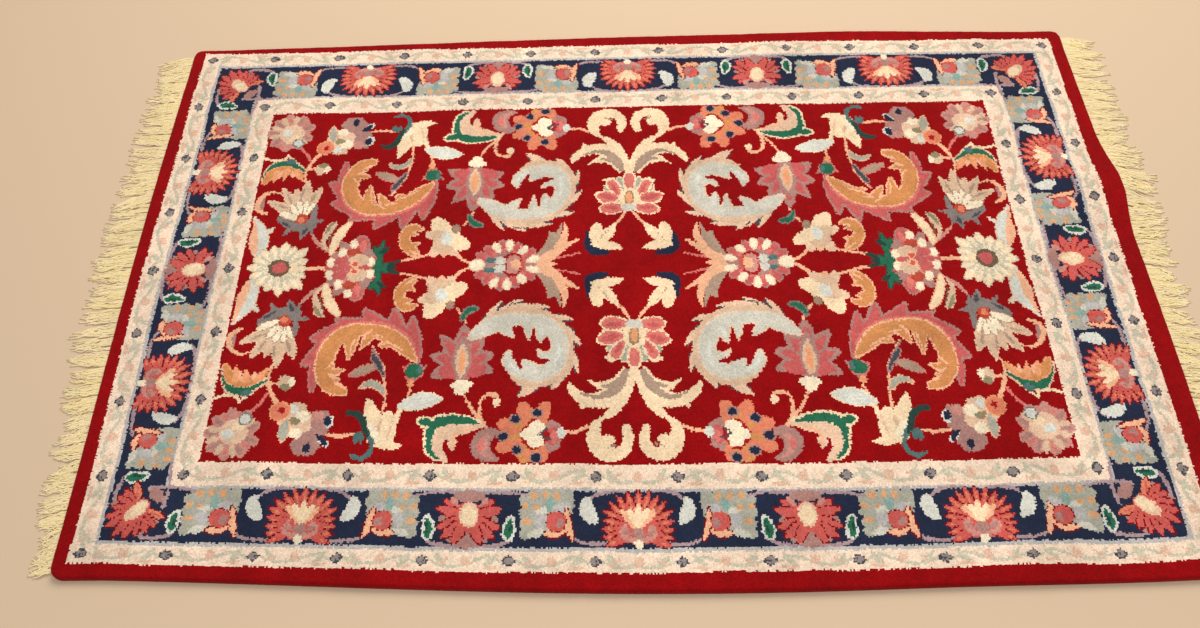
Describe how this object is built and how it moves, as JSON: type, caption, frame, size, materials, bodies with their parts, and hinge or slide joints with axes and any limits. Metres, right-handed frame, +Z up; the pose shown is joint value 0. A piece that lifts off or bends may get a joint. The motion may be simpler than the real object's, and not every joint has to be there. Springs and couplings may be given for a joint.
{
  "type": "hand-tufted area rug with fringed ends",
  "caption": "Flat rectangular hand-tufted wool rug with rounded corners, bordered floral design and a loose cotton fringe on both short ends.",
  "frame": {"origin": "middle of the whole box, fringe included, on the underside", "axes": "+X along the long side towards the right-hand fringe as the picture shows it, +Y along the short side away from the camera, +Z up out of the pile"},
  "size_m": [2.044, 1.2202, 0.0202],
  "materials": {
    "wool_pile": "cut wool pile, deep red with navy, cream, pink, pale blue and green yarns",
    "fringe_yarn": "loose twisted cotton yarn, yellowish cream"
  },
  "bodies": {
    "root": {"rug": "wool_pile", "fringe_left": "fringe_yarn", "fringe_right": "fringe_yarn"}
  },
  "joints": []
}
